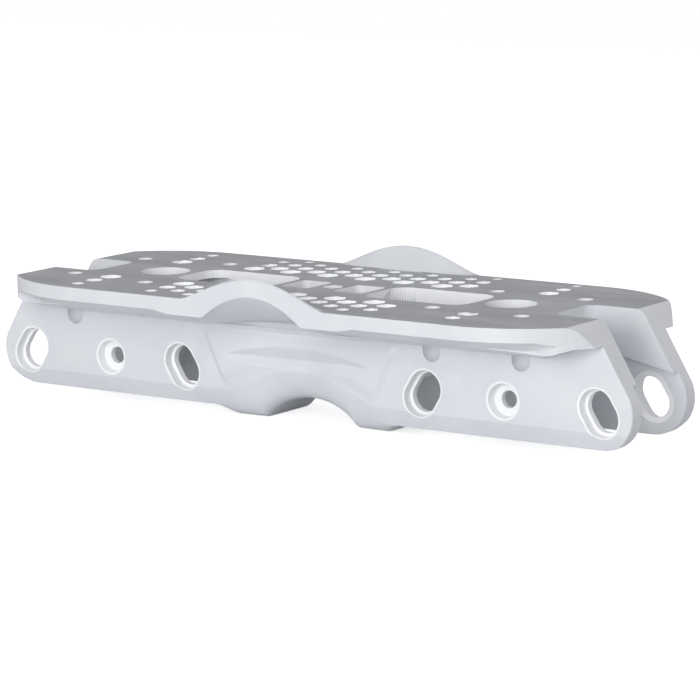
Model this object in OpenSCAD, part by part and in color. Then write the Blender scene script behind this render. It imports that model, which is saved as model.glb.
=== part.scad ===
// Aggressive inline skate frame: a moulded deck that bolts under a boot, two side walls with leaning
// slots, arched wings at mid-length and a flared grinding groove underneath.
// X runs along the frame, Y across it, Z up. The origin is the centre of the flat mounting face.

/* [Boot mount] */
// Distance between the two big mounting holes
mount_pitch = 165; // [160:1:170]
// Diameter of a big mounting hole
mount_hole_d = 20; // [14:0.5:22]

/* [Deck] */
// Half the length of the deck, measured to where its slanted end would meet the face
deck_half_l = 131.4; // [128:0.2:134]
// Radius that rounds the end of the deck over into its slant
end_round = 5.5; // [3:0.5:7]
// Half the width of the deck
deck_half_w = 53.7; // [52:0.1:56]
// Distance from the middle to the centre of the corners' arcs
corner_x = 90.5; // [86:0.5:94]
// Thickness of the deck between the walls
deck_t = 3.2; // [2.4:0.2:5]
// Height of the rim where it is left full
rim_full_h = 6.6; // [6.2:0.1:7.4]
// Height of the rim where its lower edge is relieved
rim_h = 5.3; // [4:0.1:6]
// How far that relief reaches in
relief_in = 7; // [4:0.5:9]
// Distance from the middle to the start of the relief
relief_from = 40; // [38:0.5:50]
// Turn of the corner that the relief follows
relief_turn = 35; // [0:5:60]
// Length of the pointed start of that relief
relief_tip = 7; // [3:0.5:10]
// Depth below the face at which the flange meets a wall
flange_root = 14.9; // [13:0.1:16]
// Depth of the flange at the ends of the deck
flange_end = 8.2; // [8:0.1:10]
// Length over which the underside rises to that depth
rise_l = 22; // [5:1:30]
// Half width of the notch in each end
notch_half_w = 13.6; // [11:0.2:15]
// Distance from the middle to the inner edge of a notch
notch_x = 108.6; // [106:0.2:112]
// Radius of a notch's inner corners
notch_r = 5; // [2:0.5:8]

/* [Walls] */
// Clear gap between the two walls
channel_w = 32.2; // [30:0.2:34]
// Thickness of a wall
wall_t = 7; // [6:0.1:8]
// Depth of the bottom of the rails below the face
rail_depth = 47.5; // [46:0.1:49]
// Height of the bevel along the bottom of a rail
bevel_h = 6.8; // [4:0.1:7.4]
// How far that bevel leans in
bevel_in = 3.1; // [2:0.1:4]
// Half length of the sculpted middle between the rails
seam_x = 47; // [46:0.1:47.4]

/* [Leaning slots] */
// Distance from the middle to an outer slot
slot_outer_x = 134.6; // [132:0.1:136]
// Distance from the middle to an inner slot
slot_inner_x = 57.2; // [56.8:0.1:60]
// Height of the slot centres above the bottom, which is the round of an ear
ear_r = 14.3; // [13.5:0.1:15.5]
// Radius of the round ends of a slot
slot_r = 5.8; // [5:0.1:6]
// Straight run of a slot between its round ends
slot_run = 4.6; // [2:0.2:5]
// Lean of a slot from upright, in degrees
slot_lean = 32; // [20:1:40]
// Width of the step round a slot
slot_step = 1.2; // [0.8:0.1:1.4]
// Depth of that step
slot_step_depth = 4.2; // [1:0.1:5.5]
// Wall of the liner outside the step
liner_wall = 0.9; // [0.6:0.1:1]

/* [Cross holes] */
// Distance from the middle to a cross hole
cross_x = 93.3; // [91:0.1:97]
// Height of a cross hole above the bottom of the rails
cross_rise = 15; // [13.5:0.1:16.5]
// Diameter of a cross hole
cross_d = 6.7; // [5:0.1:8]
// Diameter of its counterbore
cross_head_d = 13; // [11:0.1:15]
// Depth of its counterbore
cross_head_depth = 4.4; // [1.5:0.1:5.5]
// Wall of the sleeve outside the counterbore
sleeve_wall = 1; // [0.6:0.1:1.4]

/* [Deck openings] */
// Length of each large window
window_l = 46.4; // [44:0.2:48]
// Half width of each large window
window_half_w = 14.2; // [12:0.1:15]
// Distance from the middle to the inner edge of a large window
window_x = 22.4; // [20:0.2:22.6]
// Corner radius of a large window
window_r = 7; // [4:0.1:8]
// Depth of the skirts round a window's sides and inner end
skirt_depth = 9; // [6:0.5:14]
// Thickness of a skirt at the inner end
skirt_t = 2.5; // [1.5:0.1:2.7]
// Length of each small window
hatch_l = 13.6; // [10:0.2:14]
// Half width of each small window
hatch_half_w = 8.8; // [6:0.1:10]
// Distance from the middle to the inner edge of a small window
hatch_x = 6; // [5.6:0.1:6.6]
// Radius of a hatch's corners
hatch_r = 2; // [1:0.5:4]
// Size of the hole in the middle, across its flats
centre_hole = 7.6; // [5:0.1:8]
// Diameter of a screw hole
screw_hole_d = 6.2; // [5:0.1:7]
// Width of the pocket that continues a screw hole down the side of a wall
pocket_d = 8; // [6:0.1:9]
// Depth of those pockets below the face
pocket_depth = 20.7; // [19:0.1:22]

/* [Honeycomb] */
// Distance between two cells of one column
cell_pitch = 10.3; // [10:0.1:10.5]
// Distance between two columns
column_pitch = 9.12; // [9:0.02:9.2]
// Distance from the centre line to the first row
cell_first = 23.2; // [23:0.1:23.4]
// Size of a cell of the first row, across its flats
cell_size = 8.3; // [7:0.1:8.4]
// Depth of the cells, which stop short of the flange's underside
cell_depth = 1.7; // [1:0.1:2]
// Distance from the middle to the first column
cell_start = 55.5; // [54:0.1:57]
// How much smaller each following row is
cell_shrink = 0.94; // [0.6:0.02:1]

/* [Wings] */
// Half length of a wing
wing_half_l = 33.5; // [31:0.5:35]
// Rise of a wing above the face
wing_rise = 9.7; // [6:0.1:12]
// Width of the wing's foot on the deck
wing_foot = 5.7; // [5:0.1:6.5]
// Half width of the hollow under a wing, at the rim
hollow_half_l = 23.2; // [20:0.2:25]
// Rise of that hollow at the rim
hollow_rise = 9.6; // [6:0.2:10]
// Half width of the hollow at the wall
hollow_root_half_l = 40; // [34:0.5:42]
// Rise of the hollow at the wall
hollow_root_rise = 4; // [2:0.1:5]

/* [Groove] */
// Depth of the groove's mouth below the face, at its highest
mouth_top = 30.4; // [29:0.1:32]
// Half width of the mouth
mouth_half_w = 34; // [30:0.1:36]
// Depth of the groove's throat below the face, at its highest
throat_top = 42; // [41:0.1:44]
// Half width of the throat
throat_half_w = 22; // [20:0.1:26]
// Half length of the straight throat, across the frame
throat_half_l = 10.6; // [9:0.1:12]
// Depth of the lowest point of the belly
belly_depth = 51.5; // [50:0.1:53]
// How far the sculpted middle stands out from the rails
cheek_bulge = 1.6; // [0:0.1:2.5]
// Half length of the lens-shaped recess in its face
lens_half_l = 34; // [30:0.5:36]
// Depth of the lens's flat lower edge below the face
lens_floor = 25.6; // [25:0.1:26.5]
// Height of the lens
lens_rise = 4.9; // [3:0.1:6]
// How far the lens is set in
lens_set = 2.4; // [0.5:0.1:3]

/* [Webs and ribs] */
// Thickness of the webs
web_t = 3; // [2:0.1:4]
// Depth of the bottom of a web, where the end pads start
web_depth = 15.6; // [14.9:0.1:18]
// Depth of the bottom of an end pad at the slanted end
pad_end = 22.9; // [20:0.1:24]
// Distance from the middle to an inner rib's near face
rib_x = 85.5; // [80:0.5:90]
// Thickness of an inner rib
rib_t = 3; // [2:0.1:4]
// Depth of the inner ribs' upper edge
rib_top = 15.5; // [15:0.5:20]
// Depth of the inner ribs' lower edge
rib_depth = 41; // [34:0.5:44]

/* [Hidden] */
$fn = 64;

white = [0.88, 0.89, 0.91];
pale = [0.80, 0.81, 0.84];
grey = [0.63, 0.64, 0.66];

// How far a cutting shape runs past the face that it cuts
past = 1;
inner_y = channel_w / 2;
outer_y = inner_y + wall_t;
flange_slope = (flange_root - rim_full_h) / (deck_half_w - outer_y);
wing_in = deck_half_w - wing_foot;
step_r = slot_r + slot_step;
liner_r = step_r + liner_wall;
sleeve_r = cross_head_d / 2 + sleeve_wall;
// Places of the screw holes: along the frame, and out from the centre line
screw_places = [[-111.2, 22.6], [-71.2, 27.9], [61.7, 22.6], [101.2, 22.6]];

// The slanted end of an ear is the line from the deck's end that touches the ear's round end
slot_z = rail_depth - ear_r;
cross_z = rail_depth - cross_rise;
ear_start = [deck_half_l, 0];
ear_to = [slot_outer_x, -slot_z] - ear_start;
ear_angle = atan2(ear_to[1], ear_to[0]) + asin(ear_r / norm(ear_to));
ear_dir = [cos(ear_angle), sin(ear_angle)];
ear_out = [-ear_dir[1], ear_dir[0]];

function smooth(t) = let(c = min(1, max(0, t))) c * c * (3 - 2 * c);
function mix(a, b, t) = a + (b - a) * t;
// Points of an arc, about one for each five degrees
function arc(centre, r, from, to) = let(n = ceil(abs(to - from) / 5))
    [for (i = [0:n]) let(a = mix(from, to, i / n)) centre + r * [cos(a), sin(a)]];
// Place at depth z on the slanted line through a point
function slant_x(p, z) = p[0] + (z - p[1]) * ear_dir[0] / ear_dir[1];
// Points of the round that joins a level line at height z to the slanted line through p
function bend(p, z, r) = arc([slant_x(p, z) - r * tan(-ear_angle / 2), z - r], r, 90, 90 + ear_angle);

// Underside of the flange, with the hollow that runs in under each wing
function flange_under(y) = -rim_full_h - (deck_half_w - y) * flange_slope;
function hollow_t(y) = (y - outer_y) / (deck_half_w - outer_y);
function hollow_half(y) = mix(hollow_root_half_l, hollow_half_l, hollow_t(y));
function hollow_lift(y) = mix(hollow_root_rise, hollow_rise, pow(hollow_t(y), 3));
function bow(u) = max(0, 1 - u * u);
function under(x, y) = flange_under(y) + hollow_lift(y) * bow(x / hollow_half(y));

// Mouth of the groove on the wall's face, throat of the groove, and the flare between them
function mouth(x) = let(u = min(1, abs(x) / mouth_half_w))
    -mouth_top - (rail_depth - bevel_h - mouth_top) * pow(u, 1.75);
function throat(x) = let(a = abs(x), foot = mouth_half_w + 0.5)
    a < throat_half_w ? mix(-throat_top, -belly_depth, 2 - sqrt(4 - 3 * pow(a / throat_half_w, 2)))
    : a < foot ? -belly_depth
    : mix(-belly_depth, -rail_depth, smooth((a - foot) / (seam_x - 1 - foot)));
function flare(x, y) = let(a = min(abs(y), outer_y),
        trumpet = pow(max(0, (a - throat_half_l) / (outer_y - throat_half_l)), 3),
        bevel = min(1, max(0, (a - outer_y + bevel_in) / bevel_in)),
        share = mix(trumpet, bevel, smooth((abs(x) - mouth_half_w) / (seam_x - mouth_half_w))))
    mix(throat(x), mouth(x), share);

// Outer face of the sculpted middle: it stands out inside two leaning creases, and holds the lens
function crease_x(z) = let(t = (-z - flange_root) / (rail_depth - bevel_h - flange_root))
    mix(seam_x + 1, mouth_half_w + 2, t);
function lens_top(x) = -lens_floor + lens_rise * bow(x / lens_half_l);
function lens_in(x, z) = let(top = lens_top(x), deep = min(1, 1.6 * bow(x / lens_half_l)))
    z > top || deep == 0 ? 0
    : z > -lens_floor ? deep * min(1, (top - z) / (top + lens_floor))
    : deep * (1 - smooth((-lens_floor - z) / 4.5));
function cheek_y(x, z) = outer_y
    + cheek_bulge * smooth((crease_x(z) - abs(x)) / 3.5) * smooth((z - mouth(x)) / 8)
        * smooth((-flange_root - z) / 5)
    - lens_set * lens_in(x, z);

// Triangles over a ring of n points: from its last point, or between its two halves
function fan(n) = [for (j = [0:n - 3]) [n - 1, j, j + 1]];
function ladder(n) = [for (j = [0:n / 2 - 2]) each [[j, j + 1, n - 1 - j], [j + 1, n - 2 - j, n - 1 - j]]];

// Solid through a list of rings with equally many points, each anticlockwise seen from the last ring's side
module skin(rings, cap = []) {
    n = len(rings[0]);
    m = len(rings);
    points = [for (r = rings) for (p = r) p];
    first = len(cap) > 0 ? cap : [[for (j = [0:n - 1]) j]];
    last = [for (f = first) [for (j = [len(f) - 1:-1:0]) f[j] + (m - 1) * n]];
    sides = [for (i = [0:m - 2], j = [0:n - 1]) let(k = (j + 1) % n, a = i * n + j, b = i * n + k)
        each [[a, a + n, b], [b, a + n, b + n]]];
    polyhedron(points, concat(first, last, sides), convexity = 8);
}

module both_y() {
    children();
    mirror([0, 1, 0]) children();
}

module both_x() {
    children();
    mirror([1, 0, 0]) children();
}

// Prism across the frame, from y0 to y1, of a shape drawn in X and Z
module across(y0, y1) {
    translate([0, y1, 0]) rotate([90, 0, 0]) linear_extrude(y1 - y0) children();
}

// Prism along the frame, from x0 to x1, of a shape drawn in Y and Z
module along(x0, x1) {
    translate([x0, 0, 0]) rotate([90, 0, 90]) linear_extrude(x1 - x0) children();
}

module leaning_slot(r, lean) {
    rotate(lean) {
        square([2 * r, slot_run], center = true);
        for (s = [-1, 1]) translate([0, s * slot_run / 2]) circle(r);
    }
}

module rounded_window(x0, x1, half_w, r) {
    translate([x0 + r, -half_w]) square([x1 - x0 - 2 * r, 2 * half_w]);
    translate([x0, -half_w + r]) square([x1 - x0, 2 * half_w - 2 * r]);
    for (x = [x0 + r, x1 - r], y = [-half_w + r, half_w - r]) translate([x, y]) circle(r);
}

// Cells of one column, in the rows first, first + 2 and so on
module cell_column(x, first, last) {
    for (k = [first:2:last]) translate([x, cell_first + k * cell_pitch / 2])
        circle(d = (cell_size - cell_shrink * k) / cos(30), $fn = 6);
}

// The last row of the outer columns is left out where it would run into the near rim
module honeycomb(outer) {
    for (c = [0:5]) {
        cell_column(-cell_start + 2 * c * column_pitch, 0, 4);
        cell_column(-cell_start + (2 * c + 1) * column_pitch, 1, c == 0 || c == 5 ? outer : 3);
    }
    cell_column(-92.3, 0, 4);
    cell_column(81.5, 1, outer);
}

// Plan of a notch, open at its outer end
module notch() {
    w = notch_half_w;
    polygon(concat([[2 * deck_half_l, w], [2 * deck_half_l, -w]],
        arc([notch_x + notch_r, notch_r - w], notch_r, -90, -180),
        arc([notch_x + notch_r, w - notch_r], notch_r, 180, 90)));
}

module channel_openings() {
    both_x() rounded_window(window_x, window_x + window_l, window_half_w, window_r);
    both_x() rounded_window(hatch_x, hatch_x + hatch_l, hatch_half_w, hatch_r);
    both_x() notch();
    both_x() translate([mount_pitch / 2, 0]) circle(d = mount_hole_d);
    circle(d = centre_hole / cos(30), $fn = 6);
}

module deck_outline() {
    polygon(concat(arc([corner_x, 0], deck_half_w, -90, 90), arc([-corner_x, 0], deck_half_w, 90, 270)));
}

module flange_section() {
    polygon([[deck_half_w, 0], [deck_half_w, -rim_full_h], [outer_y, -flange_root], [inner_y, -flange_root],
        [inner_y, 0]]);
}

module deck_side() {
    foot = slant_x(ear_start, -flange_end);
    half = concat(bend(ear_start, 0, end_round), [[foot, -flange_end], [deck_half_l, -flange_end],
        [deck_half_l - rise_l, -flange_root]]);
    polygon(concat(half, [for (i = [len(half) - 1:-1:0]) [-half[i][0], half[i][1]]]));
}

// What the relief takes from the rim's lower edge, carried along the side and round the corner
module relief() {
    w = deck_half_w;
    top = flange_under(w - relief_in);
    slope = (-rim_h - top) / relief_in;
    section = [[w - relief_in, -flange_root], [w + past, -flange_root], [w + past, -rim_h + past * slope],
        [w - relief_in, top]];
    tip = [[w - 0.1, -flange_root], [w + past, -flange_root], [w + past, -rim_full_h],
        [w - 0.1, flange_under(w - 0.1)]];
    function ring(section, x, turn) = [for (p = section) [x + p[0] * sin(turn), p[0] * cos(turn), p[1]]];
    both_x() skin(concat([ring(tip, relief_from, 0), ring(section, relief_from + relief_tip, 0)],
        [for (turn = [0:5:relief_turn]) ring(section, corner_x, turn)],
        [ring(tip, corner_x, relief_turn + 8)]));
}

// Space that the hollow of a wing takes out of the flange
module hollow() {
    n = 16;
    function ring(y) = let(h = hollow_half(y), low = -flange_root - past)
        concat([for (i = [0:n]) let(x = mix(-h, h, i / n)) [x, y, under(x, y)]], [[h, y, low], [-h, y, low]]);
    skin([for (i = [0:6]) ring(mix(outer_y, wing_in + past, i / 6))]);
}

// A skirt carries a window's long sides and inner end down between the walls
module window_skirt() translate([0, 0, -skirt_depth]) linear_extrude(skirt_depth - deck_t / 2) difference() {
    translate([window_x - skirt_t, -inner_y]) square([skirt_t + window_l - window_r, channel_w]);
    rounded_window(window_x, window_x + window_l, window_half_w, window_r);
}

// The level plate between the walls, with the mounting holes, and the thicker flange beyond it
module sole_plate() color(grey) difference() {
    union() {
        across(-inner_y, inner_y) intersection() {
            deck_side();
            translate([-2 * deck_half_l, -deck_t]) square([4 * deck_half_l, 2 * deck_t]);
        }
        both_x() window_skirt();
    }
    translate([0, 0, -deck_t - past]) linear_extrude(deck_t + 2 * past) channel_openings();
}

module flange(outer) color(grey) difference() {
    intersection() {
        translate([0, 0, -flange_root]) linear_extrude(flange_root) deck_outline();
        along(-deck_half_l - end_round, deck_half_l + end_round) flange_section();
        across(inner_y, deck_half_w) deck_side();
    }
    translate([0, 0, -cell_depth]) linear_extrude(cell_depth + past) honeycomb(outer);
    for (p = screw_places)
        translate([p[0], p[1], -flange_root - past]) cylinder(d = screw_hole_d, h = flange_root + 2 * past);
    relief();
    hollow();
    translate([-wing_half_l, wing_in, -flange_root])
        cube([2 * wing_half_l, wing_foot + past, flange_root + past]);
}
module far_flange() flange(5);
module near_flange() mirror([0, 1, 0]) flange(3);

// A wing in slices along the frame: it rises from its foot on the deck to a crest at the rim
module wing() {
    n = 32;
    rows = 8;
    function rise(t) = smooth(t * 1.15) * (1 - 0.08 * smooth((t - 0.85) / 0.15));
    function y(t) = wing_in + wing_foot * t;
    function ring(x) = let(top = wing_rise * pow(bow(x / wing_half_l), 1.4))
        concat([for (i = [0:rows]) [x, y(i / rows), under(x, y(i / rows))]],
            [for (i = [rows:-1:0]) [x, y(i / rows), top * rise(i / rows)]]);
    color(white) skin([for (i = [0:n]) ring(mix(-wing_half_l, wing_half_l, i / n))], ladder(2 * rows + 2));
}
module far_wing() wing();
module near_wing() mirror([0, 1, 0]) wing();

// Side view of a rail with its ear, whose end carries on the slant of the deck's end
module rail_outline() {
    polygon(concat([[seam_x, -rail_depth], [seam_x, -flange_root], [deck_half_l - rise_l, -flange_root],
        [deck_half_l, -flange_end], [slant_x(ear_start, -flange_end), -flange_end]],
        arc([slot_outer_x, -slot_z], ear_r, 90 + ear_angle, -90)));
}

// The wall beyond the sculpted middle, drawn on the far side at the front; side is 1 there and -1 at the rear
module rail(side) color(white) difference() {
    across(inner_y, outer_y) difference() {
        rail_outline();
        translate([slot_outer_x, -slot_z]) leaning_slot(liner_r, slot_lean);
        translate([slot_inner_x, -slot_z]) leaning_slot(liner_r, -slot_lean);
        translate([cross_x, -cross_z]) circle(sleeve_r);
    }
    along(seam_x - past, slot_outer_x + ear_r + past) bevel_section();
    for (p = screw_places) if (sign(p[0]) == side && p[1] < outer_y)
        translate([abs(p[0]), outer_y, 0]) rotate_extrude() pocket_section();
}

// Half of a pocket, round at its bottom
module pocket_section() {
    r = pocket_d / 2;
    polygon(concat([[0, 0]], arc([0, r - pocket_depth], r, -90, 0), [[r, 0]]));
}

// What the bevel takes from the bottom of a wall
module bevel_section() {
    slope = bevel_in / bevel_h;
    polygon([[outer_y + past * slope, -rail_depth + bevel_h + past], [outer_y + 2 * past, -rail_depth - past],
        [outer_y - bevel_in - past * slope, -rail_depth - past]]);
}
module far_rail_front() rail(1);
module far_rail_rear() mirror([1, 0, 0]) rail(-1);
module near_rail_front() mirror([0, 1, 0]) rail(1);
module near_rail_rear() mirror([0, 1, 0]) mirror([1, 0, 0]) rail(-1);

// The sculpted middle in slices along the frame: wall root, outer face, flare, and inner face
module cheek() {
    n = 48;
    rows = 14;
    turns = 8;
    top = -flange_root;
    function ring(x) = let(low = mouth(x))
        concat([for (i = [0:turns - 1]) let(y = mix(inner_y, outer_y, i / turns)) [x, y, flare(x, y)]],
            [for (i = [0:rows]) let(z = mix(low, top, i / rows)) [x, cheek_y(x, z), z]],
            [[x, inner_y, top]]);
    color(white) skin([for (i = [0:n]) ring(mix(-seam_x, seam_x, i / n))], fan(turns + rows + 2));
}
module far_cheek() cheek();
module near_cheek() mirror([0, 1, 0]) cheek();

// The belly between the walls, with the throat of the groove under it
module groove_block() {
    n = 40;
    slices = 12;
    top = -mouth_top;
    xs = [for (i = [0:n]) mix(-seam_x, seam_x, i / n)];
    function ring(y) = concat([for (x = xs) [x, y, top]], [for (i = [n:-1:0]) [xs[i], y, flare(xs[i], y)]]);
    color(white) skin([for (j = [0:slices]) ring(mix(-inner_y, inner_y, j / slices))], ladder(2 * n + 2));
}

// A web crosses the channel at the inner end of a notch and fills the corners beside it
module web() color(pale) translate([0, 0, -web_depth]) linear_extrude(web_depth - deck_t) {
    w = notch_half_w;
    back = notch_x - web_t;
    polygon(concat([[back, inner_y], [back, -inner_y], [notch_x, -inner_y], [notch_x, -w]],
        arc([notch_x + notch_r, notch_r - w], notch_r, -90, -180),
        arc([notch_x + notch_r, w - notch_r], notch_r, 180, 90), [[notch_x, w], [notch_x, inner_y]]));
}
module front_web() web();
module rear_web() mirror([1, 0, 0]) web();

// A pad thickens the ear beside the notch, down to a sloping edge that clears the wheel
module end_pad() color(pale) across(notch_half_w, inner_y) polygon([[notch_x, -deck_t], [notch_x, -web_depth],
    [slant_x(ear_start, -pad_end), -pad_end], [slant_x(ear_start, -deck_t), -deck_t]]);
module end_pad_far_front() end_pad();
module end_pad_far_rear() mirror([1, 0, 0]) end_pad();
module end_pad_near_front() mirror([0, 1, 0]) end_pad();
module end_pad_near_rear() mirror([0, 1, 0]) mirror([1, 0, 0]) end_pad();

module rib() color(pale) translate([rib_x, -inner_y, -rib_depth])
    cube([rib_t, channel_w, rib_depth - rib_top]);
module front_rib() rib();
module rear_rib() mirror([1, 0, 0]) rib();

// A liner fills its hole in the wall and holds the stepped slot; slots count from the rear to the front
slot_xs = [-slot_outer_x, -slot_inner_x, slot_inner_x, slot_outer_x];
slot_leans = [-slot_lean, slot_lean, -slot_lean, slot_lean];
module slot_liner(i) color(pale) translate([slot_xs[i], 0, -slot_z]) difference() {
    across(inner_y, outer_y) leaning_slot(liner_r, slot_leans[i]);
    across(inner_y - past, outer_y + past) leaning_slot(slot_r, slot_leans[i]);
    across(outer_y - slot_step_depth, outer_y + past) leaning_slot(step_r, slot_leans[i]);
    translate([-2 * liner_r, 0, slot_z]) along(0, 4 * liner_r) bevel_section();
}
module slot_liner_far_1() slot_liner(0);
module slot_liner_far_2() slot_liner(1);
module slot_liner_far_3() slot_liner(2);
module slot_liner_far_4() slot_liner(3);
module slot_liner_near_1() mirror([0, 1, 0]) slot_liner(0);
module slot_liner_near_2() mirror([0, 1, 0]) slot_liner(1);
module slot_liner_near_3() mirror([0, 1, 0]) slot_liner(2);
module slot_liner_near_4() mirror([0, 1, 0]) slot_liner(3);

module cross_sleeve() color(pale) translate([cross_x, outer_y, -cross_z]) rotate([90, 0, 0]) difference() {
    cylinder(r = sleeve_r, h = wall_t);
    translate([0, 0, -past]) cylinder(d = cross_d, h = wall_t + 2 * past);
    translate([0, 0, -past]) cylinder(d = cross_head_d, h = cross_head_depth + past);
}
module cross_sleeve_far_front() cross_sleeve();
module cross_sleeve_far_rear() mirror([1, 0, 0]) cross_sleeve();
module cross_sleeve_near_front() mirror([0, 1, 0]) cross_sleeve();
module cross_sleeve_near_rear() mirror([0, 1, 0]) mirror([1, 0, 0]) cross_sleeve();

sole_plate();
near_flange();
far_flange();
near_wing();
far_wing();
near_rail_front();
near_rail_rear();
far_rail_front();
far_rail_rear();
near_cheek();
far_cheek();
groove_block();
front_web();
rear_web();
end_pad_near_front();
end_pad_near_rear();
end_pad_far_front();
end_pad_far_rear();
front_rib();
rear_rib();
slot_liner_near_1();
slot_liner_near_2();
slot_liner_near_3();
slot_liner_near_4();
slot_liner_far_1();
slot_liner_far_2();
slot_liner_far_3();
slot_liner_far_4();
cross_sleeve_near_front();
cross_sleeve_near_rear();
cross_sleeve_far_front();
cross_sleeve_far_rear();
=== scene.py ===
# %% [markdown]
# # An aggressive inline skate frame
# The real object looks like one injection moulding of white nylon: a honeycombed sole plate whose level top
# is painted grey as shade, two walls under it with slots for the axles, and a sculpted middle with a groove
# for grinding. Here the imported CAD model gives every size, and each step below turns a few of its nodes
# into a finished surface.

import bmesh
import bpy
import numpy as np
from mathutils import Matrix, Vector


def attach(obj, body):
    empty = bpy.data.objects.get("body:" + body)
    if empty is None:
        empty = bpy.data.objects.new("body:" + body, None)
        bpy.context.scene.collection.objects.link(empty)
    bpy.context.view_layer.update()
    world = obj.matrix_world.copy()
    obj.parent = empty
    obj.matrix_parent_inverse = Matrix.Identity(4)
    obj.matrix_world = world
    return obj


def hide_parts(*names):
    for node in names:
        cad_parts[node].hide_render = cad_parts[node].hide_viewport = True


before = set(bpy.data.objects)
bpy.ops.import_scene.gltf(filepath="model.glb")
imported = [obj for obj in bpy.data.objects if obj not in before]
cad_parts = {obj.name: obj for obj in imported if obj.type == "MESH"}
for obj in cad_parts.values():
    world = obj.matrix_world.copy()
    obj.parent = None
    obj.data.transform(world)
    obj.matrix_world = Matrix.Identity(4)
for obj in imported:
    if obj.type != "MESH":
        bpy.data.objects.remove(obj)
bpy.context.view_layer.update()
MM = 0.001

# %% [markdown]
# ## The camera
# The place of the camera was worked out from the photograph: the two mounting holes, the slots and the
# windows give its direction, distance and lens. The elevation was then lowered by half a degree by
# comparison. It stands 1.36 m away and looks down at just under ten degrees, so the object is flattened as
# in a product photograph.

# %% Camera
AZIMUTH, ELEVATION, ROLL = np.radians([35.29, 9.80, -0.76])
DISTANCE_MM, TARGET_MM = 1360.24, np.array([5.30, 3.67, -25.08])
FOCAL_PX, PICTURE_PX, SENSOR_MM = 3480.6, 700, 36.0
CLIP_M = (0.05, 20)

right = np.array([np.cos(AZIMUTH), np.sin(AZIMUTH), 0.0])
level_back = np.array([np.sin(AZIMUTH), -np.cos(AZIMUTH), 0.0])
back = level_back * np.cos(ELEVATION) + np.array([0.0, 0.0, np.sin(ELEVATION)])
level_up = np.cross(back, right)
side = right * np.cos(ROLL) + level_up * np.sin(ROLL)
up = -right * np.sin(ROLL) + level_up * np.cos(ROLL)
camera_data = bpy.data.cameras.new("camera")
camera_data.lens = FOCAL_PX / PICTURE_PX * SENSOR_MM
camera_data.sensor_width = SENSOR_MM
camera_data.clip_start, camera_data.clip_end = CLIP_M
camera = bpy.data.objects.new("camera", camera_data)
bpy.context.scene.collection.objects.link(camera)
place = Matrix([list(row) for row in np.column_stack([side, up, back])]).to_4x4()
place.translation = Vector((TARGET_MM + back * DISTANCE_MM) * MM)
camera.matrix_world = place
bpy.context.scene.camera = camera
print("camera:", [round(c, 3) for c in camera.location], "lens", round(camera_data.lens, 1))

# %% [markdown]
# ## Nodes of a material
# Each material is a small graph of shader nodes. One function adds a node, sets it and links it, and one
# turns a colour written as sRGB hex into the linear values that the shader works in. The others make the
# small groups of nodes that come back: a ramp between two colours, a product, and a choice by what sees the
# surface.

# %% Helpers for materials
def linear(code):
    """A colour in hex as four linear values: a power curve above a short straight part, as sRGB says."""
    s = np.array([int(code[i:i + 2], 16) for i in (1, 3, 5)]) / 255
    return (*np.where(s <= 0.04045, s / 12.92, ((s + 0.055) / 1.055) ** 2.4), 1.0)


def add(tree, kind, settings=(), inputs=(), **links):
    """Adds a node, sets its own properties and its inputs, and links outputs to its inputs by name."""
    node = tree.nodes.new(kind)
    for key, value in dict(settings).items():
        setattr(node, key, value)
    for key, value in dict(inputs).items():
        node.inputs[key].default_value = value
    for key, output in links.items():
        tree.links.new(output, node.inputs[key.replace("_", " ")])
    return node


def blank(name):
    """A new material with its tree cleared and an output node."""
    material = bpy.data.materials.new(name)
    material.use_nodes = True
    material.node_tree.nodes.clear()
    return material, material.node_tree, material.node_tree.nodes.new("ShaderNodeOutputMaterial")


def ramp(tree, factor, places, codes):
    """The colour between two colours in hex, each at its place along a factor."""
    node = add(tree, "ShaderNodeValToRGB", Fac=factor)
    for element, place_at, code in zip(node.color_ramp.elements, places, codes):
        element.position, element.color = place_at, linear(code)
    return node.outputs["Color"]


def product(tree, first, second):
    """Two values multiplied."""
    node = add(tree, "ShaderNodeMath", {"operation": "MULTIPLY"})
    tree.links.new(first, node.inputs[0])
    tree.links.new(second, node.inputs[1])
    return node.outputs[0]


def by_ray(tree, to_object, to_camera):
    """One shader for what the camera sees, and another for the light that reaches the object."""
    seen = add(tree, "ShaderNodeLightPath")
    pick = add(tree, "ShaderNodeMixShader")
    tree.links.new(seen.outputs["Is Camera Ray"], pick.inputs[0])
    tree.links.new(to_object, pick.inputs[1])
    tree.links.new(to_camera, pick.inputs[2])
    return pick.outputs[0]

# %% [markdown]
# ## White nylon, as moulded
# Frames like this are moulded in polyamide filled with a little glass. It's a cool white with a satin skin:
# the mould's fine spark texture breaks the shine, and faint flow marks vary it. The texture here is a noise
# with grains of 0.5 mm, drawn coarser than the real one so that it shows at all. The edges of the slots and
# cross holes get a brighter white, which is painted light standing in for the light that falls on them.

# %% White nylon
WHITE, WHITE_DEEP = "#e1e3e7", "#dbdde2"
# Painted light: brighter whites for the edges of the slots and cross holes, and for the insides of the deck's
# openings
PAINTED_LIGHT_WHITE, PAINTED_LIGHT_DEEP = "#fcfdfe", "#f3f4f6"
GRAIN_MM, GRAIN_SHARE, GRAIN_DEPTH_MM = 0.5, 0.12, 0.05
FLOW_MM, FLOW_BEND, FLOW_AT = 28.0, 0.8, (0.35, 0.65)
SATIN, NYLON_IOR = (0.38, 0.5), 1.53


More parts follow.
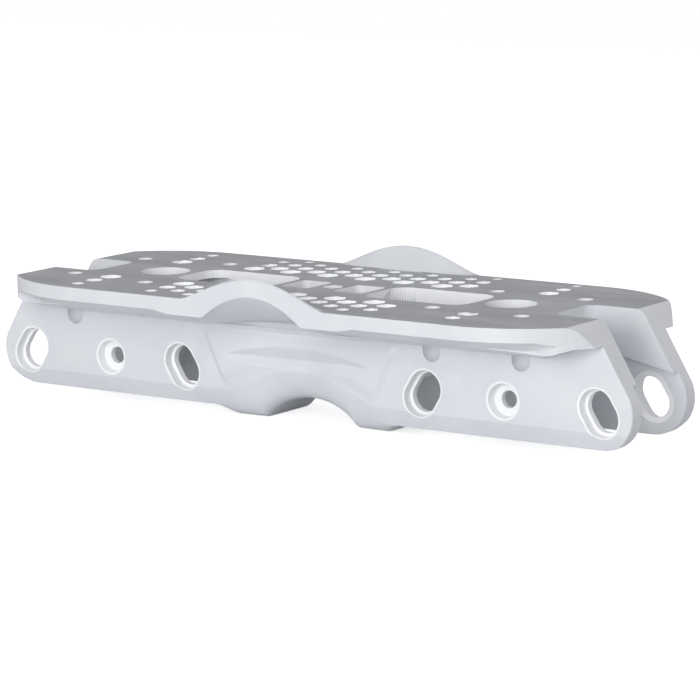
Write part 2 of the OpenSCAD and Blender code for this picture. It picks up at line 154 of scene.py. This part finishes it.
def nylon(name, light=WHITE, deep=WHITE_DEEP):
    """Satin nylon: slow noise between two close whites and two roughnesses, fine noise as bump."""
    material, tree, out = blank(name)
    where = add(tree, "ShaderNodeTexCoord").outputs["Object"]
    slow = {"Scale": 1 / (FLOW_MM * MM), "Detail": 3.0, "Distortion": FLOW_BEND}
    flow = add(tree, "ShaderNodeTexNoise", inputs=slow, Vector=where).outputs["Fac"]
    tint = ramp(tree, flow, FLOW_AT, (deep, light))
    shine = add(tree, "ShaderNodeMapRange", inputs={"To Min": SATIN[0], "To Max": SATIN[1]}, Value=flow)
    fine = {"Scale": 1 / (GRAIN_MM * MM), "Detail": 2.0}
    grain = add(tree, "ShaderNodeTexNoise", inputs=fine, Vector=where).outputs["Fac"]
    bump = add(tree, "ShaderNodeBump", inputs={"Strength": GRAIN_SHARE, "Distance": GRAIN_DEPTH_MM * MM},
               Height=grain)
    shader = add(tree, "ShaderNodeBsdfPrincipled", inputs={"IOR": NYLON_IOR},
                 Base_Color=tint, Roughness=shine.outputs["Result"],
                 Normal=bump.outputs["Normal"])
    tree.links.new(shader.outputs["BSDF"], out.inputs["Surface"])
    return material, tree, shader, where


white_nylon = nylon("white_nylon")[0]
# Painted light: the slot and cross hole edges get this brighter white in place of the light that falls on
# them
painted_light_nylon = nylon("painted_light_nylon", PAINTED_LIGHT_WHITE, PAINTED_LIGHT_DEEP)[0]
print("materials:", white_nylon.name, painted_light_nylon.name)

# %% [markdown]
# ## The sole plate's top, painted grey as shade
# The level face that meets the boot is painted grey as shade, where the faces that look up show dark,
# while the rim round it stays white. The plate's one material therefore tells them apart by height and by
# the way the surface faces, and clouds the grey in streaks. Inside the cells, holes and windows painted
# light makes the nylon whitest, and a value on those faces marks them.

# %% Grey top over white nylon
# Painted shade: the grey of the level top that looks up, and a lighter grey for its streaks
PAINTED_SHADE_GREY, PAINTED_SHADE_PALE, PAINTED_SHADE_AT = "#95979d", "#b3b5ba", (0.35, 0.68)
CLOUD_MM, CLOUD_ROUGHNESS = 20.0, 0.68
STREAK_TURN, STREAK_SCALE = np.radians(-25), (0.3, 1.0, 1.0)
TOP_EDGE_MM, WING_FOOT_MM, LEVEL_FROM = (-0.1, -0.04), (0.15, 0.5), (0.75, 0.95)
# Name of the face value that marks where painted light whitens the openings
PAINTED_LIGHT_MARK = "painted_light"
# Sockets of the two colours and of the result on a node that mixes colours
COLOUR_A, COLOUR_B, COLOUR_OUT = 6, 7, 2


def rising(tree, value, start, end, falls=False):
    """Goes from 0 to 1 while a value goes from start to end, or from 1 to 0."""
    inputs = {"From Min": start, "From Max": end, "To Min": float(falls), "To Max": float(not falls)}
    return add(tree, "ShaderNodeMapRange", inputs=inputs, Value=value).outputs["Result"]


def deck_nylon():
    """White nylon with painted light: whitest on the marked faces, and painted grey as shade near height zero
    where the face looks up.
    """
    material, tree, shader, where = nylon("deck_nylon")
    height = add(tree, "ShaderNodeSeparateXYZ", Vector=where).outputs["Z"]
    normal = add(tree, "ShaderNodeNewGeometry").outputs["Normal"]
    facing = add(tree, "ShaderNodeSeparateXYZ", Vector=normal).outputs["Z"]
    high = rising(tree, height, *[edge * MM for edge in TOP_EDGE_MM])
    low = rising(tree, height, *[edge * MM for edge in WING_FOOT_MM], falls=True)
    # Where the painted shade goes: near height zero, on faces that look up
    painted_shade_mask = product(tree, product(tree, high, low), rising(tree, facing, *LEVEL_FROM))
    streaks = {"Rotation": (0, 0, STREAK_TURN), "Scale": STREAK_SCALE}
    stretched = add(tree, "ShaderNodeMapping", inputs=streaks, Vector=where).outputs["Vector"]
    clouds = {"Scale": 1 / (CLOUD_MM * MM), "Detail": 7.0, "Roughness": CLOUD_ROUGHNESS}
    cloud = add(tree, "ShaderNodeTexNoise", inputs=clouds, Vector=stretched).outputs["Fac"]
    painted_shade = ramp(tree, cloud, PAINTED_SHADE_AT, (PAINTED_SHADE_GREY, PAINTED_SHADE_PALE))
    # Painted light: the marked faces inside the openings are mixed towards a brighter white
    painted_light = add(tree, "ShaderNodeAttribute", {"attribute_name": PAINTED_LIGHT_MARK})
    painted_light_mix = add(tree, "ShaderNodeMix", {"data_type": "RGBA"})
    tree.links.new(painted_light.outputs["Fac"], painted_light_mix.inputs["Factor"])
    tree.links.new(shader.inputs["Base Color"].links[0].from_socket, painted_light_mix.inputs[COLOUR_A])
    painted_light_mix.inputs[COLOUR_B].default_value = linear(PAINTED_LIGHT_WHITE)
    top = add(tree, "ShaderNodeMix", {"data_type": "RGBA"})
    tree.links.new(painted_shade_mask, top.inputs["Factor"])
    tree.links.new(painted_light_mix.outputs[COLOUR_OUT], top.inputs[COLOUR_A])
    tree.links.new(painted_shade, top.inputs[COLOUR_B])
    tree.links.new(top.outputs[COLOUR_OUT], shader.inputs["Base Color"])
    return material


deck_painted_light_and_shade = deck_nylon()
print("material:", deck_painted_light_and_shade.name)

# %% [markdown]
# ## Surfaces from rings
# Every new piece is a skin over rings of points: each ring is worked out as an array from a formula, and
# faces join it to the next one. A piece whose last ring meets its first is a closed tube, and one with two
# ends gets a flat face on each. A small function adds the piece to the scene and says how big it came out.

# %% Skins
def smooth(t):
    """Eases from 0 to 1: three times the square less twice the cube."""
    c = np.clip(t, 0, 1)
    return c * c * (3 - 2 * c)


def mix(low, high, share):
    """The value at a share of the way from low to high."""
    return low + (high - low) * share


def skin(name, rings, loop=False):
    """A mesh over rings (ring, point, xyz) in mm: quads between rings, and end faces unless they loop."""
    count, n = rings.shape[:2]
    first = np.arange(count if loop else count - 1)[:, None] * n
    j = np.arange(n)
    k = (j + 1) % n
    after = (first + n) % (count * n)
    quads = np.stack([first + j, after + j, after + k, first + k], axis=-1).reshape(-1, 4)
    faces = quads.tolist()
    if not loop:
        faces += [j.tolist(), ((count - 1) * n + j[::-1]).tolist()]
    mesh = bpy.data.meshes.new(name)
    mesh.from_pydata((rings.reshape(-1, 3) * MM).tolist(), [], faces)
    shell = bmesh.new()
    shell.from_mesh(mesh)
    bmesh.ops.recalc_face_normals(shell, faces=shell.faces)
    if shell.calc_volume(signed=True) < 0:
        bmesh.ops.reverse_faces(shell, faces=shell.faces)
    shell.to_mesh(mesh)
    shell.free()
    obj = bpy.data.objects.new(name, mesh)
    bpy.context.scene.collection.objects.link(obj)
    return obj


def turned(obj, x=1, y=1):
    """Mirrors a skin's points in X or Y and turns its faces back outwards."""
    obj.data.transform(Matrix.Diagonal((x, y, 1, 1)))
    if x * y < 0:
        obj.data.flip_normals()
    return obj


def combine(obj, other, operation):
    """Adds another closed surface to this one, or cuts it away, and drops the other."""
    step = obj.modifiers.new(operation, "BOOLEAN")
    step.operation, step.solver, step.object = operation, "MANIFOLD", other
    graph = bpy.context.evaluated_depsgraph_get()
    mesh = bpy.data.meshes.new_from_object(obj.evaluated_get(graph), depsgraph=graph)
    obj.modifiers.clear()
    obj.data = mesh
    bpy.data.objects.remove(other)
    return obj


def present(obj, material, nodes, sharp=30):
    """Shades a piece, crisp where faces turn by more than sharp degrees, attaches it and hides the CAD nodes
    it takes the place of.
    """
    obj.data.materials.clear()
    obj.data.materials.append(material)
    obj.data.shade_smooth()
    obj.data.set_sharp_from_angle(angle=np.radians(sharp))
    weigh = obj.modifiers.new("weighted_normals", "WEIGHTED_NORMAL")
    weigh.keep_sharp = True
    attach(obj, "root")
    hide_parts(*nodes)
    shell = bmesh.new()
    shell.from_mesh(obj.data)
    loose = sum(len(e.link_faces) != 2 for e in shell.edges)
    volume = round(shell.calc_volume() / MM ** 3)
    print(obj.name, "faces", len(shell.faces), "open edges", loose, "mm3", volume)
    shell.free()
    return obj

# %% [markdown]
# ## The deck
# The level plate, the two flanges with their honeycomb and the two arched wings are one sheet in the
# moulding. Their copies are united, which takes away the faces where they touch, so that no seam shows on
# the top.

# %% Deck
SAME_MM, INNER_Y = 0.002, 16.1


def copy_of(node):
    """A copy of a CAD node, with its doubled points merged so that it is closed."""
    shell = bmesh.new()
    shell.from_mesh(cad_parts[node].data)
    bmesh.ops.remove_doubles(shell, verts=shell.verts, dist=SAME_MM * MM)
    mesh = bpy.data.meshes.new(node + "_copy")
    shell.to_mesh(mesh)
    shell.free()
    obj = bpy.data.objects.new(node + "_copy", mesh)
    bpy.context.scene.collection.objects.link(obj)
    return obj


DECK_NODES = ["sole_plate", "near_flange", "far_flange", "near_wing", "far_wing"]
# Painted light goes on the faces of the openings, which lie in from the rim, whose ends turn about CORNER_X,
# and between two heights
RIM_IN, CORNER_X, PAINTED_LIGHT_Z = 50.5, 90.5, (-5.2, -0.02)
# Past NOTCH_X only the ears beside the notch get the painted light, and further out nothing does
NOTCH_X, NOTCH_GAP, PAINTED_LIGHT_X = 106.0, 0.1, 120.0
LOOKS_DOWN = -0.3


def mark_openings(obj):
    """Writes 1 on the faces inside cells, holes and windows, which are under the top and don't look down, to
    mark where painted light whitens them.
    """
    mesh = obj.data
    centre, normal = np.empty(len(mesh.polygons) * 3), np.empty(len(mesh.polygons) * 3)
    mesh.polygons.foreach_get("center", centre)
    mesh.polygons.foreach_get("normal", normal)
    (x, y), z = np.abs(centre.reshape(-1, 3).T[:2]) / MM, centre[2::3] / MM
    from_axis = np.hypot(np.maximum(x - CORNER_X, 0), y)
    painted_light = (from_axis < RIM_IN) & (z > PAINTED_LIGHT_Z[0]) & (z < PAINTED_LIGHT_Z[1]) & (normal[2::3] > LOOKS_DOWN)
    painted_light &= (x < NOTCH_X) | ((y > INNER_Y + NOTCH_GAP) & (x < PAINTED_LIGHT_X))
    mesh.attributes.new(PAINTED_LIGHT_MARK, "FLOAT", "FACE").data.foreach_set("value", painted_light.astype(float))
    print("faces inside openings:", int(painted_light.sum()))


deck = copy_of(DECK_NODES[0])
deck.name = "deck"
for node in DECK_NODES[1:]:
    combine(deck, copy_of(node), "UNION")
mark_openings(deck)
present(deck, deck_painted_light_and_shade, DECK_NODES, sharp=14)

# %% [markdown]
# ## The ears and rails
# A wall is a plate seven millimetres thick whose side view is drawn as one outline: level at the top,
# slanted at the end, round at the ear and level along the bottom. The outline is carried across the wall in
# rings. Near each face it shrinks along a quarter circle, which rounds the edges, and along the bottom it
# is cut back by the long bevel.

# %% Rails
OUTER_Y, ROOT_Z, DEPTH_Z = 23.1, -14.9, -47.5
SEAM_X, EAR_R, EAR_X, EAR_Z = 47.0, 14.3, 134.6, -33.2
END_X, END_Z, RISE = 131.4, -8.2, 22.0
BEVEL_H, BEVEL_IN = 6.8, 3.1
OVERLAP, TINY = 0.03, 1e-6

to_ear = np.array([EAR_X - END_X, EAR_Z])
slant = np.arctan2(to_ear[1], to_ear[0]) + np.arcsin(EAR_R / np.hypot(*to_ear))


def slant_x(z):
    """Where the slanted end crosses a height."""
    return END_X + z / np.tan(slant)


def bevel_share(y):
    """From 0 where the long bevel starts to 1 at the wall's outer face."""
    return np.clip((y - OUTER_Y + BEVEL_IN) / BEVEL_IN, 0, 1)


def rail_outline(spacing=2.4):
    """Side view of the front rail, anticlockwise seen from the near side, with points close together."""
    turn = np.linspace(-np.pi / 2, np.pi / 2 + slant, 40)
    arc = np.stack([EAR_X + EAR_R * np.cos(turn), EAR_Z + EAR_R * np.sin(turn)], axis=1)
    seam = SEAM_X - OVERLAP
    corners = [(END_X, END_Z), (END_X - RISE, ROOT_Z), (seam, ROOT_Z), (seam, DEPTH_Z)]
    points = np.vstack([arc, [(slant_x(END_Z), END_Z)], corners])
    following = np.roll(points, -1, axis=0)
    pieces = []
    for a, b in zip(points, following):
        steps = max(1, int(np.hypot(*(b - a)) / spacing))
        pieces.append(a + (b - a) * np.linspace(0, 1, steps, endpoint=False)[:, None])
    return np.vstack(pieces)


def shrunk(outline, inset):
    """Moves each point in along the mean of its two edges' normals."""
    edge = np.roll(outline, -1, axis=0) - outline
    normal = np.stack([edge[:, 1], -edge[:, 0]], axis=1)
    normal /= np.linalg.norm(normal, axis=1, keepdims=True)
    mean = normal + np.roll(normal, 1, axis=0)
    mean /= np.maximum(np.sum(mean * mean, axis=1, keepdims=True) / 2, 0.5)
    return outline - mean * inset


def rail(name, inner_r=0.3, outer_r=0.7, round_gap=0.2):
    """The rail's rings from the inner to the outer face: inset by a quarter circle, and cut by the bevel."""
    outline = rail_outline()
    turn = np.radians(np.linspace(0, 90, 6))
    rims, depths = 1 - np.sin(turn), 1 - np.cos(turn)
    between = np.linspace(OUTER_Y - BEVEL_IN, OUTER_Y - outer_r - round_gap, 4)
    ys = np.concatenate([INNER_Y + inner_r * depths, between, (OUTER_Y - outer_r * depths)[::-1]])
    insets = np.concatenate([inner_r * rims, np.zeros(len(between)), outer_r * rims[::-1]])
    rings = []
    for y, inset in zip(ys, insets):
        ring = shrunk(outline, inset)
        at_seam = outline[:, 0] < SEAM_X + 1
        ring[at_seam, 0] = outline[at_seam, 0]
        ring[:, 1] = np.maximum(ring[:, 1], DEPTH_Z + BEVEL_H * bevel_share(y))
        at_root = (outline[:, 1] >= ROOT_Z - TINY) & (outline[:, 0] < END_X - RISE + TINY)
        ring[at_root, 1] = ROOT_Z
        rings.append(np.stack([ring[:, 0], np.full(len(ring), y), ring[:, 1]], axis=1))
    return skin(name, np.array(rings))

# %% [markdown]
# ## The sculpted middle with the grinding groove
# Between the rails the walls swell out, and under them the belly hangs down in two lobes with an arched
# groove between. The whole middle is one skin along X: each ring goes along the groove from the near to the
# far side, up the far wall, over the channel and down the near wall. The groove flares from its throat to
# its wide mouth by the cube of the distance, so it looks like the bell of a trumpet. A small fillet joins
# the wall to the flange.

# %% Middle
RIM_H, DECK_W = 6.6, 53.7
SLOPE = (-ROOT_Z - RIM_H) / (DECK_W - OUTER_Y)
MOUTH_TOP, MOUTH_W, MOUTH_POWER = 30.4, 34.0, 1.75
THROAT_TOP, THROAT_W, THROAT_L, BELLY, FLARE_POWER = 42.0, 22.0, 10.6, 51.5, 3
# How far the wall swells, and over what length it fades towards the crease, the mouth and the flange
BULGE, CREASE_FADE, MOUTH_FADE, ROOT_FADE = 1.6, 3.5, 8, 5
LENS_W, LENS_FLOOR, LENS_RISE, LENS_IN, LENS_STEEP, LENS_FADE = 34.0, 25.6, 4.9, 2.4, 1.6, 4.5
FILLET_X, FILLET_MIN, FILLET_FADE = 38.0, 0.15, 6


def bow(u):
    """An arch that is 1 in the middle and 0 from one half width outwards."""
    return np.maximum(0, 1 - u * u)


def mouth(x):
    """Height of the groove's edge on the wall's face: an arch to the power 1.75."""
    return -MOUTH_TOP - (-DEPTH_Z - BEVEL_H - MOUTH_TOP) * np.minimum(1, np.abs(x) / MOUTH_W) ** MOUTH_POWER


def throat(x):
    """Height of the groove inside: part of an ellipse, then the lobe's flat, then a ramp up to the rail."""
    a, foot = np.abs(x), MOUTH_W + 0.5
    arch = mix(-THROAT_TOP, -BELLY, 2 - np.sqrt(np.maximum(0, 4 - 3 * np.minimum(1, a / THROAT_W) ** 2)))
    ramp = mix(-BELLY, DEPTH_Z, smooth((a - foot) / (SEAM_X - 1 - foot)))
    return np.where(a < THROAT_W, arch, np.where(a < foot, -BELLY, ramp))


def flare(x, y):
    """Blends the throat into the mouth across the frame, and into the rail's bevel towards the seams."""
    a = np.minimum(np.abs(y), OUTER_Y)
    trumpet = np.maximum(0, (a - THROAT_L) / (OUTER_Y - THROAT_L)) ** FLARE_POWER
    share = mix(trumpet, bevel_share(a), smooth((np.abs(x) - MOUTH_W) / (SEAM_X - MOUTH_W)))
    return mix(throat(x), mouth(x), share)


def outer_face(x, z):
    """How far out the wall stands: a swelling inside two leaning creases, less the lens cut into it."""
    crease = mix(SEAM_X + 1, MOUTH_W + 2, (-z + ROOT_Z) / (-DEPTH_Z - BEVEL_H + ROOT_Z))
    swell = BULGE * smooth((crease - np.abs(x)) / CREASE_FADE) * smooth((z - mouth(x)) / MOUTH_FADE)
    swell = swell * smooth((ROOT_Z - z) / ROOT_FADE)
    width = bow(x / LENS_W)
    top, deep = -LENS_FLOOR + LENS_RISE * width, np.minimum(1, LENS_STEEP * width)
    above = deep * np.clip((top - z) / np.maximum(top + LENS_FLOOR, TINY), 0, 1)
    below = deep * (1 - smooth((-LENS_FLOOR - z) / LENS_FADE))
    lens = np.where((z > top) | (deep == 0), 0, np.where(z > -LENS_FLOOR, above, below))
    return OUTER_Y + swell - LENS_IN * lens


def middle(name, slices=160, across=56, rows=44):
    """The rings of the middle, each from the near side round by the groove, the far wall and the channel."""
    x = np.linspace(-SEAM_X - OVERLAP, SEAM_X + OVERLAP, slices + 1)[:, None]
    y = np.linspace(-OUTER_Y, OUTER_Y, across + 1)[None, :]
    groove = np.stack(np.broadcast_arrays(x, y, flare(x, y)), axis=-1)
    share = np.linspace(0, 1, rows + 1)[None, 1:]
    z = mix(mouth(x), ROOT_Z, share)
    far = np.stack(np.broadcast_arrays(x, outer_face(x, z), z), axis=-1)
    near = (far * [1, -1, 1])[:, ::-1]
    channel = np.array([(INNER_Y, ROOT_Z), (INNER_Y, -MOUTH_TOP), (-INNER_Y, -MOUTH_TOP), (-INNER_Y, ROOT_Z)])
    inside = np.empty((slices + 1, len(channel), 3))
    inside[:, :, 0], inside[:, :, 1:] = x, channel
    return skin(name, np.concatenate([groove, far, inside, near], axis=1))


def root_fillet(name, radius=1.6, steps=8, slices=60):
    """A hollow quarter circle between the wall and the sloping flange, which fades out at both ends."""
    x = np.linspace(-FILLET_X, FILLET_X, slices + 1)
    fade = FILLET_MIN + (radius - FILLET_MIN) * smooth((FILLET_X - np.abs(x)) / FILLET_FADE)
    turn = np.linspace(0, np.pi / 2, steps)
    out, down = 1 - np.sin(turn), 1 - np.cos(turn)
    rings = []
    for at, r in zip(x, fade):
        y = OUTER_Y + r * out
        z = ROOT_Z + SLOPE * (y - OUTER_Y) - r * down
        back = [(OUTER_Y - 1, z[-1]), (OUTER_Y - 1, ROOT_Z + 0.5), (y[0], z[0] + 0.5)]
        ring = np.vstack([np.stack([y, z], axis=1), back])
        rings.append(np.column_stack([np.full(len(ring), at), ring]))
    return skin(name, np.array(rings))


walls = middle("walls_and_groove")
for y in (1, -1):
    combine(walls, turned(root_fillet("fillet"), 1, y), "UNION")
for x in (1, -1):
    for y in (1, -1):
        combine(walls, turned(rail("rail"), x, y), "UNION")
print("walls:", len(walls.data.polygons), "faces")

# %% [markdown]
# ## Openings in the walls
# The slots lean, so that a wheel can sit nearer to the ground or further in, and each has a step round it
# that holds an insert. A slot's outline is an obround: two half circles joined by straight sides. Here the
# walls get plain holes, and the stepped edges follow as pieces of their own.

# %% Holes for the slots, the cross holes and the pockets
SLOT_X, SLOT_RUN, LEAN = (134.6, 57.2), 4.6, np.radians(32)
LINER_R, SLEEVE_R, CROSS_X, CROSS_Z = 7.9, 7.5, 93.3, -32.5
POCKETS, POCKET_R, POCKET_Z, POCKET_TIP = (-111.2, 61.7, 101.2), 4.0, -20.7, 0.02
PLUG_OUT = 3


def obround(radius, run, lean, steps=48):
    """Points round a slot: a circle's two halves, moved apart by the run and turned by the lean."""
    turn = np.linspace(0, 2 * np.pi, steps, endpoint=False) + np.pi / steps
    points = radius * np.stack([np.cos(turn), np.sin(turn)], axis=1)
    points[:, 1] += np.where(np.sin(turn) > 0, 0.5, -0.5) * run
    c, s = np.cos(lean), np.sin(lean)
    return points @ np.array([[c, s], [-s, c]])


def plug(centre_x, centre_z, points):
    """A prism across one wall, from an outline round a centre."""
    rings = [np.stack([centre_x + points[:, 0], np.full(len(points), y), centre_z + points[:, 1]], axis=1)
             for y in (INNER_Y - PLUG_OUT, OUTER_Y + PLUG_OUT)]
    return skin("plug", np.array(rings))


def pocket(x, around=40):
    """A round-ended bore down the face of the wall, as the screw above needs for its head."""
    turn = np.linspace(-np.pi / 2 + POCKET_TIP, 0, 12)
    profile = [(POCKET_R * np.cos(t), POCKET_Z + POCKET_R + POCKET_R * np.sin(t)) for t in turn]
    profile.append((POCKET_R, ROOT_Z + 1))
    round_z = np.linspace(0, 2 * np.pi, around, endpoint=False)
    rings = [np.stack([x + r * np.cos(round_z), OUTER_Y + r * np.sin(round_z), np.full(around, z)], axis=1)
             for r, z in profile]
    return skin("pocket", np.array(rings))


for y in (1, -1):
    for x in (1, -1):
        for centre, lean in zip(SLOT_X, (LEAN, -LEAN)):
            combine(walls, turned(plug(centre, EAR_Z, obround(LINER_R, SLOT_RUN, lean)), x, y), "DIFFERENCE")
        combine(walls, turned(plug(CROSS_X, CROSS_Z, obround(SLEEVE_R, 0, 0)), x, y), "DIFFERENCE")
    for centre in POCKETS:
        combine(walls, turned(pocket(centre), 1, y), "DIFFERENCE")
WALL_NODES = ["near_cheek", "far_cheek", "groove_block"]
WALL_NODES += [f"{side}_rail_{end}" for side in ("near", "far") for end in ("front", "rear")]
present(walls, white_nylon, WALL_NODES, sharp=24)

# %% [markdown]
# ## The stepped edges of the slots and cross holes
# An insert sits in the step, so its edges are crisp but softened by the mould. One profile, drawn as
# distance from the bore's edge against depth, is carried along the obround, and along a circle for the
# cross holes. Where the long bevel passes, the ring is cut back with it.

# %% Slot and cross hole rings
LIP, EDGE, BURIED = 0.35, 0.12, 0.02
SLOT_BORE_R, SLOT_STEP_R, SLOT_STEP_DEPTH = 5.8, 7.0, 4.2
CROSS_BORE_R, CROSS_HEAD_R, CROSS_HEAD_DEPTH = 3.35, 6.5, 4.4


def corner(r, y, from_deg, to_deg, size=LIP, steps=5):
    """Points of a quarter circle that softens a corner of the profile."""
    turn = np.radians(np.linspace(from_deg, to_deg, steps))
    return np.stack([r + size * np.cos(turn), y + size * np.sin(turn)], axis=1)


def stepped(bore_r, step_r, depth, outside):
    """The closed profile of a stepped ring: radius and distance across the frame."""
    y0, y1 = INNER_Y, OUTER_Y
    return np.vstack([[(outside, y0), (outside, y1)], corner(step_r + LIP, y1 - LIP, 90, 180),
                      corner(step_r - LIP, y1 - depth + LIP, 0, -90),
                      corner(bore_r + EDGE, y1 - depth - EDGE, 90, 180, EDGE),
                      corner(bore_r + EDGE, y0 + EDGE, 180, 270, EDGE)])


def ring_piece(name, profile, centre_x, centre_z, run, lean, x, y):
    """Carries the profile round the opening, and keeps it inside the wall's bevel."""
    rings = []
    for radius, across in profile:
        points = obround(radius, run, lean, 72)
        z = centre_z + points[:, 1]
        limit = OUTER_Y - BEVEL_IN * np.clip((DEPTH_Z + BEVEL_H - z) / BEVEL_H, 0, 1)
        rings.append(np.stack([centre_x + points[:, 0], np.minimum(across, limit), z], axis=1))
    return turned(skin(name, np.array(rings), loop=True), x, y)


slot_profile = stepped(SLOT_BORE_R, SLOT_STEP_R, SLOT_STEP_DEPTH, LINER_R + BURIED)
cross_profile = stepped(CROSS_BORE_R, CROSS_HEAD_R, CROSS_HEAD_DEPTH, SLEEVE_R + BURIED)
# The edges take the brighter white, which is painted light
for side, y in (("near", -1), ("far", 1)):
    for count, (x, centre, lean) in enumerate([(-1, SLOT_X[0], LEAN), (-1, SLOT_X[1], -LEAN),
                                               (1, SLOT_X[1], -LEAN), (1, SLOT_X[0], LEAN)], 1):
        edge = ring_piece(f"slot_edge_{side}_{count}", slot_profile, centre, EAR_Z, SLOT_RUN, lean, x, y)
        present(edge, painted_light_nylon, [f"slot_liner_{side}_{count}"])
    for end, x in (("rear", -1), ("front", 1)):
        edge = ring_piece(f"cross_edge_{side}_{end}", cross_profile, CROSS_X, CROSS_Z, 0, 0, x, y)
        present(edge, painted_light_nylon, [f"cross_sleeve_{side}_{end}"])

# %% [markdown]
# ## The webs, end pads and ribs
# The webs at the inner ends of the notches, the pads beside the notches and the ribs between the walls are
# plain mouldings, so the CAD nodes stay and take the nylon.

# %% Webs, end pads and ribs
PADS = [f"end_pad_{side}_{end}" for side in ("near", "far") for end in ("front", "rear")]
for node in ["front_web", "rear_web", "front_rib", "rear_rib"] + PADS:
    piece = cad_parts[node]
    piece.data.materials.clear()
    piece.data.materials.append(white_nylon)
print("pads:", len(PADS))

# %% [markdown]
# ## Floor and light
# The photograph is a cut-out on white: the walls and the rim are bright and the undersides only a little
# darker. So two softboxes stand before the object, one of them low, and a weak one hangs overhead in a
# bright room. The floor is white to the camera and keeps a faint shadow, and to the object it is a pale
# surface that sends light back up.

# %% Floor
FLOOR_SIZE, FLOOR_Z = 3.0, -0.0516
PAPER, GLOW = "#e6e7e8", 0.7
half = FLOOR_SIZE / 2
floor_mesh = bpy.data.meshes.new("floor")
floor_mesh.from_pydata([(-half, -half, FLOOR_Z), (half, -half, FLOOR_Z), (half, half, FLOOR_Z),
                        (-half, half, FLOOR_Z)], [], [(0, 1, 2, 3)])
floor = bpy.data.objects.new("floor", floor_mesh)
bpy.context.scene.collection.objects.link(floor)
paper, tree, out = blank("paper")
matt = add(tree, "ShaderNodeBsdfDiffuse", inputs={"Color": linear(PAPER)})
glow = add(tree, "ShaderNodeEmission", inputs={"Strength": GLOW})
shown = add(tree, "ShaderNodeAddShader")
tree.links.new(matt.outputs[0], shown.inputs[0])
tree.links.new(glow.outputs[0], shown.inputs[1])
tree.links.new(by_ray(tree, matt.outputs[0], shown.outputs[0]), out.inputs["Surface"])
floor.data.materials.append(paper)
print("floor at", FLOOR_Z)

# %% Light
WORLD_LEVEL, WORLD_COLOUR = 0.55, "#fdfdff"
LOOK_AT_M = Vector((0, 0, -0.02))
world = bpy.data.worlds.new("studio")
bpy.context.scene.world = world
world.use_nodes = True
tree = world.node_tree
tree.nodes.clear()
soft = add(tree, "ShaderNodeBackground", inputs={"Color": linear(WORLD_COLOUR), "Strength": WORLD_LEVEL})
plain = add(tree, "ShaderNodeBackground", inputs={"Color": (1, 1, 1, 1), "Strength": 1.0})
sky = by_ray(tree, soft.outputs[0], plain.outputs[0])
tree.links.new(sky, add(tree, "ShaderNodeOutputWorld").inputs["Surface"])


def softbox(name, place_mm, size_mm, watts):
    """A square area lamp that looks at the middle of the object."""
    data = bpy.data.lights.new(name, "AREA")
    data.size, data.energy = size_mm * MM, watts
    lamp = bpy.data.objects.new(name, data)
    bpy.context.scene.collection.objects.link(lamp)
    lamp.location = Vector(place_mm) * MM
    lamp.rotation_euler = (LOOK_AT_M - lamp.location).to_track_quat("-Z", "Y").to_euler()


softbox("front", (450, -1150, 450), 600, 4)
softbox("low_front", (150, -1150, 190), 440, 3.6)
softbox("overhead", (100, 300, 1300), 900, 1)
bpy.context.scene.view_settings.view_transform = "Standard"
